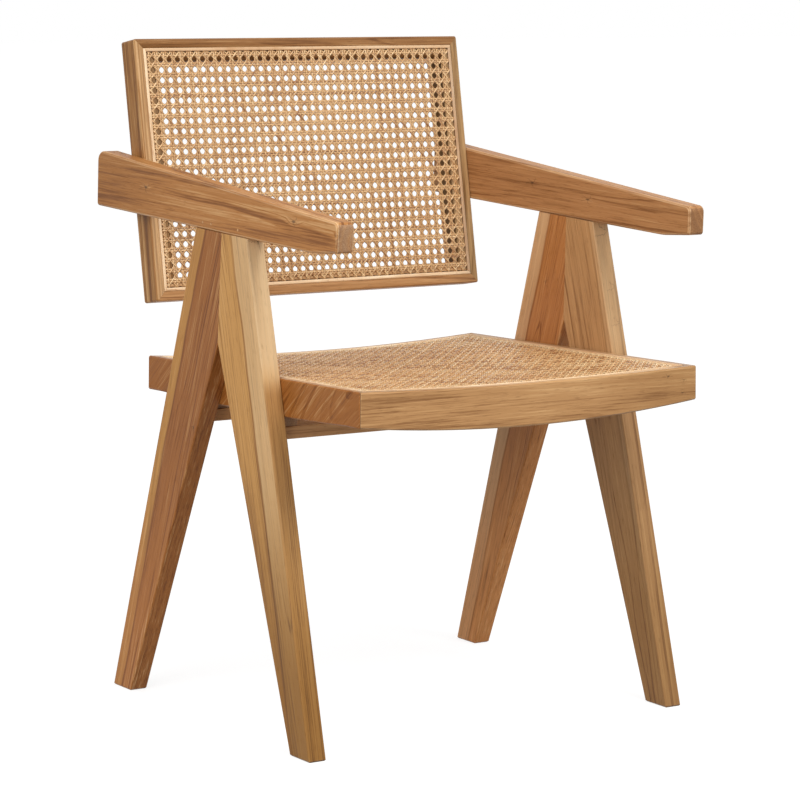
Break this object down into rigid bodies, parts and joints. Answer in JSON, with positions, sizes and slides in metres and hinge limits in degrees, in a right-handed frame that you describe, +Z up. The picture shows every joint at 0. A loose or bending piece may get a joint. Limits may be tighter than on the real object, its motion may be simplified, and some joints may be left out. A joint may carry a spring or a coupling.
{
  "type": "cane armchair",
  "caption": "Wooden armchair with leaning A-shaped side frames under flat arms, a saddle-curved cane seat and a reclined cane back.",
  "frame": {"origin": "middle of the chair's footprint, on the floor", "axes": "+X to the viewer's right as one faces the chair, +Y towards the back, +Z up"},
  "size_m": [0.5576, 0.5482, 0.7996],
  "materials": {
    "teak": "satin",
    "peg": "satin",
    "cane": "satin",
    "spline": "satin",
    "screw": "satin"
  },
  "bodies": {
    "root": {"arm_pins": "peg", "back_bottom_rail": "teak", "back_cane": "cane", "back_dowels": "peg", "back_left_stile": "teak", "back_mitre_tongues": "peg", "back_right_stile": "teak", "back_spline_bottom": "spline", "back_spline_left": "spline", "back_spline_right": "spline", "back_spline_top": "spline", "back_top_rail": "teak", "front_cross_bar": "teak", "left_arm": "teak", "left_front_leg": "teak", "left_rear_leg": "teak", "leg_joint_tongues": "peg", "rear_cross_bar": "teak", "right_arm": "teak", "right_front_leg": "teak", "right_rear_leg": "teak", "seat_blocks": "teak", "seat_cane": "cane", "seat_front_rail": "teak", "seat_left_rail": "teak", "seat_mitre_tongues": "peg", "seat_rear_rail": "teak", "seat_right_rail": "teak", "seat_screws": "screw", "seat_spline_front": "spline", "seat_spline_left": "spline", "seat_spline_rear": "spline", "seat_spline_right": "spline"}
  },
  "joints": []
}
